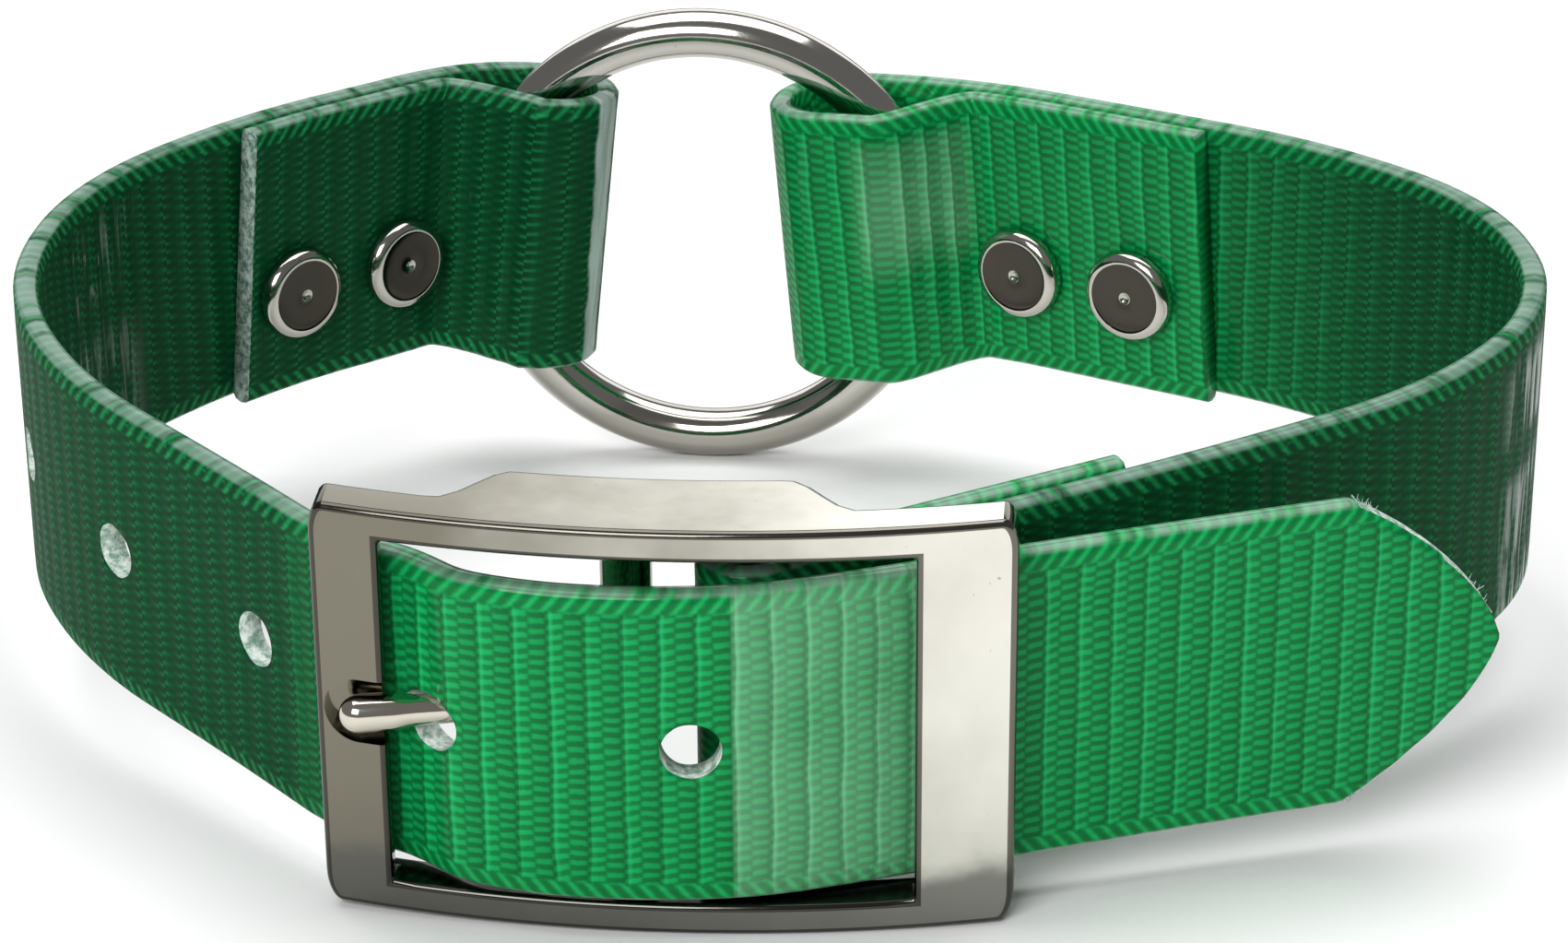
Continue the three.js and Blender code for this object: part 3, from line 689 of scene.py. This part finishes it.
def rivet_frames(stations, loop):
    frames = []
    end = stations[-1][0]
    for back in (loop["rivet"], loop["rivet"] + RIVET_PITCH):
        _, place, ahead, up, out = station_at(stations, end - back)
        frames.append((place - out * LAYER_PITCH / 2 - up * RIVET_DROP, ahead, out))
    return frames


def rivet_holes(loop, fold, inward, cut_end):
    """Holes through both layers of a loop, from where its fold starts and its doubled layer ends."""
    holes = []
    for back in (loop["rivet"], loop["rivet"] + RIVET_PITCH):
        for x in (fold + inward * back, cut_end + inward * (loop["length"] - back)):
            holes.append((x, -RIVET_DROP, RIVET_SHANK + 2 * CLEAR))
    return holes


def make_long_strap():
    main = line_of(long_stations)
    line = main + folded_layer(long_stations, LONG_LOOP)[::-1]
    used = FREE_RUN + tongue_hole()
    holes = [(used + (i - 1) * HOLE_PITCH, 0, HOLE_DIAMETER) for i in range(HOLE_COUNT)]
    rivets = rivet_holes(LONG_LOOP, length_of(main), -1, length_of(line))
    strap = webbing("strap_long", line, holes, rivets, True, long_finish)
    way = tongue_shaft(CLEAR)
    for face in way.faces:
        face.material_index = 1
    way.transform(to_object)
    cut(strap, loose("tongue_way", way))
    make_frays(line)


def make_short_strap():
    start = folded_layer(bar_stations, BAR_LOOP) + line_of(short_stations[:1])
    main = start[:-1] + line_of(short_stations)
    line = main + folded_layer(short_stations, SHORT_LOOP)[::-1]
    rivets = rivet_holes(BAR_LOOP, length_of(start), 1, 0)
    rivets += rivet_holes(SHORT_LOOP, length_of(main), -1, length_of(line))
    webbing("strap_short", line, [], rivets, False, short_finish)


def make_ring():
    across = right_of_ring - left_of_ring
    across = Vector((across.x, across.y, 0)).normalized()
    shape = bmesh.new()
    bmesh.ops.create_circle(shape, cap_ends=False, segments=32, radius=RING_WIRE / 2,
                            matrix=Matrix.Translation((ring_radius, 0, 0)) @ Matrix.Rotation(pi / 2, 4, "X"))
    bmesh.ops.spin(shape, geom=shape.verts[:] + shape.edges[:], cent=(0, 0, 0), axis=(0, 0, 1),
                   angle=2 * pi, steps=144, use_merge=True)
    bmesh.ops.remove_doubles(shape, verts=shape.verts, dist=0.001)
    outward(shape)
    stand = Matrix.Translation(ring_centre) @ Matrix((across, UP, across.cross(UP))).transposed().to_4x4()
    shape.transform(stand)
    return finished("ring_round", shape, [ring_finish], "nickel", ["ring"])


def rail_depth(x):
    away = abs(x - PLATEAU_X) - PLATEAU_FLAT / 2
    return mix(PLATEAU_DEPTH, RAIL_DEPTH, smoothstep(away, 0, PLATEAU_RAMP))


def make_buckle():
    """A flat plate with its window cut, deepened along the rails, rounded, then arched."""
    half_x, half_z = BUCKLE_LENGTH / 2, BUCKLE_HEIGHT / 2
    shape = bmesh.new()
    bmesh.ops.create_grid(shape, x_segments=1, y_segments=1, size=0.5,
                          matrix=Matrix.Diagonal((BUCKLE_LENGTH, BUCKLE_HEIGHT, 1, 1)))
    inner = half_z - RAIL_THICK
    xs = [-half_x + LEFT_BAR, half_x - RIGHT_BAR]
    steps = [-half_x + BUCKLE_LENGTH * i / 44 for i in range(1, 44)]
    xs += [x for x in steps if min(abs(x - xs[0]), abs(x - xs[1])) > 0.9]
    for x in xs:
        bmesh.ops.bisect_plane(shape, geom=shape.verts[:] + shape.edges[:] + shape.faces[:],
                               plane_co=(x, 0, 0), plane_no=(1, 0, 0), dist=0.15)
    for z in (-inner, inner):
        bmesh.ops.bisect_plane(shape, geom=shape.verts[:] + shape.edges[:] + shape.faces[:],
                               plane_co=(0, z, 0), plane_no=(0, 1, 0), dist=0.05)
    window = [f for f in shape.faces if abs(f.calc_center_median().y) < inner
              and xs[0] < f.calc_center_median().x < xs[1]]
    bmesh.ops.delete(shape, geom=window, context="FACES")
    corners = [v for v in shape.verts if abs(abs(v.co.x) - half_x) < 0.01 and abs(abs(v.co.y) - half_z) < 0.01]
    bmesh.ops.bevel(shape, geom=corners, offset=BUCKLE_CORNER, segments=8, profile=0.5, affect="VERTICES",
                    material=-1)
    top = shape.faces[:]
    grown = bmesh.ops.extrude_face_region(shape, geom=top)
    back = [v for v in grown["geom"] if isinstance(v, bmesh.types.BMVert)]
    bmesh.ops.translate(shape, verts=back, vec=(0, 0, BAR_THICK))
    shape.faces.ensure_lookup_table()
    deeper = [f for f in shape.faces if f.normal.z != 0 and f.calc_center_median().z > BAR_THICK * 0.9
              and abs(f.calc_center_median().y) > inner]
    grown = bmesh.ops.extrude_face_region(shape, geom=deeper)
    moved = [v for v in grown["geom"] if isinstance(v, bmesh.types.BMVert)]
    for vertex in moved:
        vertex.co.z = rail_depth(vertex.co.x)
    bmesh.ops.delete(shape, geom=deeper, context="FACES_ONLY")
    outward(shape)
    sharp = [e for e in shape.edges if len(e.link_faces) == 2 and e.calc_face_angle(0) > radians(50)]
    bmesh.ops.bevel(shape, geom=sharp, offset=0.5, segments=4, profile=0.5, affect="EDGES", material=-1,
                    clamp_overlap=False)
    # Bevels and side faces, all but the top rim, take the darker nickel: a painted dark reflection.
    for face in shape.faces:
        lean = max(abs(face.normal.x), abs(face.normal.y), abs(face.normal.z))
        upper = face.normal.y > 0.9 and face.calc_center_median().y > inner
        if lean < 0.985 or (abs(face.normal.z) < 0.5 and not upper):
            face.material_index = 1
    for vertex in shape.verts:
        x, z, y = vertex.co
        vertex.co = Vector((x, y + arch_at(x), z))
    outward(shape)
    frame_piece = loose("buckle_plate", shape)
    notch = bmesh.new()
    start = -half_x + LEFT_BAR + 1.5
    closed = -half_x + LEFT_BAR - NOTCH_LENGTH + NOTCH_HEIGHT / 2
    floor_y = arch_at(closed - NOTCH_HEIGHT / 2) + NOTCH_DEPTH
    bmesh.ops.create_cone(notch, cap_ends=True, segments=48, radius1=NOTCH_HEIGHT / 2, radius2=NOTCH_HEIGHT / 2,
                          depth=6, matrix=Matrix.Translation((closed, floor_y - 3, 0))
                          @ Matrix.Rotation(pi / 2, 4, "X"))
    for vertex in notch.verts:
        if vertex.co.x > closed:
            vertex.co.x = start
    outward(notch)
    cut(frame_piece, loose("notch", notch))
    shape = bmesh.new()
    shape.from_mesh(frame_piece.data)
    old = frame_piece.data
    bpy.data.objects.remove(frame_piece)
    bpy.data.meshes.remove(old)
    for x, y, diameter in (TONGUE_PIN, STRAP_PIN):
        bmesh.ops.create_cone(shape, cap_ends=True, segments=40, radius1=diameter / 2, radius2=diameter / 2,
                              depth=BUCKLE_HEIGHT - RAIL_THICK, matrix=Matrix.Translation((x, y, 0)))
    shape.transform(buckle_turn)
    piece = finished("buckle_frame_cast", shape, [buckle_finish, edge_shade_finish], "nickel", ["buckle_frame"])
    return harden(piece)


def harden(piece):
    """Keep broad faces flat and small roundings soft."""
    piece.data.set_sharp_from_angle(angle=radians(42))
    weigh = piece.modifiers.new("weigh", "WEIGHTED_NORMAL")
    weigh.keep_sharp = True
    return piece


def turned(points, segments):
    """Spin a profile of (radius, height) pairs round Z."""
    shape = bmesh.new()
    verts = [shape.verts.new((r, 0, h)) for r, h in points]
    for a, b in zip(verts, verts[1:]):
        shape.edges.new((a, b))
    bmesh.ops.spin(shape, geom=shape.verts[:] + shape.edges[:], cent=(0, 0, 0), axis=(0, 0, 1),
                   angle=2 * pi, steps=segments, use_merge=True)
    bmesh.ops.remove_doubles(shape, verts=shape.verts, dist=0.001)
    outward(shape)
    return shape


def tongue_shaft(grow):
    """The tongue's straight shank and swollen nose, grown all round."""
    along = tongue_tip - tongue_root
    length = along.length
    swell = length - NOSE_LENGTH
    shank, nose = SHANK / 2 + grow, NOSE / 2 + grow
    points = [(0, 0), (shank, 0), (shank, swell - NOSE_LENGTH / 2)]
    points += [(mix(shank, nose, smoothstep(i, 0, 6)), mix(swell - NOSE_LENGTH / 2, swell, i / 6)) for i in range(1, 7)]
    points += [(nose * cos(a * pi / 20), length - nose + nose * sin(a * pi / 20)) for a in range(11)]
    points[-1] = (0, length)
    shape = turned(points, 32)
    axis = along.normalized()
    side = axis.cross(UP).normalized()
    shape.transform(Matrix.Translation(tongue_root) @ Matrix((side, axis.cross(side), axis)).transposed().to_4x4())
    outward(shape)
    return shape


def make_tongue():
    shape = tongue_shaft(0)
    half, edge = EYE_HEIGHT / 2, EYE_WALL / 4
    outer = eye_inner + EYE_WALL
    eye = turned([(eye_inner, -half), (outer - edge, -half), (outer, -half + edge), (outer, half - edge),
                  (outer - edge, half), (eye_inner, half), (eye_inner, -half)], 40)
    eye.transform(Matrix.Translation(tongue_pin))
    spare = bpy.data.meshes.new("eye")
    eye.to_mesh(spare)
    eye.free()
    shape.from_mesh(spare)
    bpy.data.meshes.remove(spare)
    return finished("tongue_turned", shape, [tongue_finish], "nickel", ["buckle_tongue"])


def make_rivet(name, frame_at, node):
    place, ahead, out = frame_at
    grip = LAYER_PITCH / 2 + THICK / 2 + 0.4
    top = grip + CAP_HEIGHT
    cap = CAP_DIAMETER / 2
    upper = [(RIVET_SHANK / 2, grip), (cap - 0.12, grip), (cap, grip + 0.12), (cap, top - CAP_ROUND)]
    upper += [(cap - CAP_ROUND + CAP_ROUND * cos(a * pi / 16), top - CAP_ROUND + CAP_ROUND * sin(a * pi / 16))
              for a in range(1, 9)]
    upper += [(cap * 0.78, top - 0.01), (cap * 0.74, top - 0.07), (cap * 0.4, top - 0.1), (0.55, top - 0.1), (0.4, top - 0.16),
              (0.22, top - 0.3), (0, top - 0.34)]
    lower = [(r, -h) for r, h in reversed(upper)]
    shape = turned(lower + upper, 56)
    # The cap's flat top takes the near-black nickel: a painted dark reflection.
    for face in shape.faces:
        middle = face.calc_center_median()
        if abs(middle.z) > top - 0.25 and 0.5 < middle.xy.length < cap * 0.8:
            face.material_index = 1
    shape.transform(Matrix.Translation(place) @ Matrix((ahead, ahead.cross(out) * -1, out)).transposed().to_4x4())
    outward(shape)
    return finished(name, shape, [rim_finish, flat_reflection_finish], "nickel", [node])


make_long_strap()
make_short_strap()
make_ring()
make_buckle()
make_tongue()
for side, stations, loop in (("long", long_stations, LONG_LOOP), ("short", short_stations, SHORT_LOOP),
                             ("buckle", bar_stations, BAR_LOOP)):
    for i, frame_at in enumerate(rivet_frames(stations, loop)):
        make_rivet(f"rivet_{side}_{i + 1}_turned", frame_at, f"rivet_{side}_{i + 1}")


# Floor, light and camera

def make_floor():
    shape = bmesh.new()
    bmesh.ops.create_grid(shape, x_segments=1, y_segments=1, size=3)
    floor = finished("floor", shape, [pale_floor()], None, [], place=Matrix.Identity(4))


def soft_light(name, place, aim, size, power, colour=(1, 1, 1)):
    lamp = bpy.data.lights.new(name, "AREA")
    lamp.shape = "RECTANGLE"
    lamp.size, lamp.size_y = size
    lamp.energy = power
    lamp.color = colour
    item = bpy.data.objects.new(name, lamp)
    item.location = place
    item.rotation_euler = (Vector(aim) - Vector(place)).to_track_quat("-Z", "Y").to_euler()
    bpy.context.scene.collection.objects.link(item)


def make_studio():
    world = bpy.data.worlds.new("studio")
    world.use_nodes = True
    world.node_tree.nodes["Background"].inputs["Color"].default_value = (1, 1, 1, 1)
    world.node_tree.nodes["Background"].inputs["Strength"].default_value = 0.2
    bpy.context.scene.world = world
    bpy.context.scene.view_settings.view_transform = "Standard"
    soft_light("overhead", (0, 0.15, 0.8), (0, 0, 0), (0.9, 0.7), 7)
    soft_light("front_left", (-0.3, -0.75, 0.5), (0, 0, 0.02), (0.5, 0.4), 6)
    soft_light("behind", (0, 1.1, 0.55), (0, 0, 0.03), (1.6, 0.6), 4.5)


def make_camera():
    """The photograph's view: 5200 pixels of focal length on a frame 1701 pixels wide."""
    dip, distance, right, rise, roll = radians(20.6807), 0.39879, 0.00039, 0.015655, radians(-0.386)
    data = bpy.data.cameras.new("camera")
    data.sensor_width = 36
    data.lens = 5200 / 1701 * 36
    camera = bpy.data.objects.new("camera", data)
    place = Vector((right, rise * sin(dip) - distance * cos(dip), rise * cos(dip) + distance * sin(dip)))
    x_axis = Vector((1, 0, 0))
    y_axis = Vector((0, sin(dip), cos(dip)))
    turned_x = x_axis * cos(roll) + y_axis * sin(roll)
    turned_y = y_axis * cos(roll) - x_axis * sin(roll)
    basis = Matrix((turned_x, turned_y, turned_x.cross(turned_y))).transposed().to_4x4()
    camera.matrix_world = Matrix.Translation(place) @ basis
    data.clip_start = 0.01
    bpy.context.scene.collection.objects.link(camera)
    bpy.context.scene.camera = camera


make_floor()
make_studio()
make_camera()
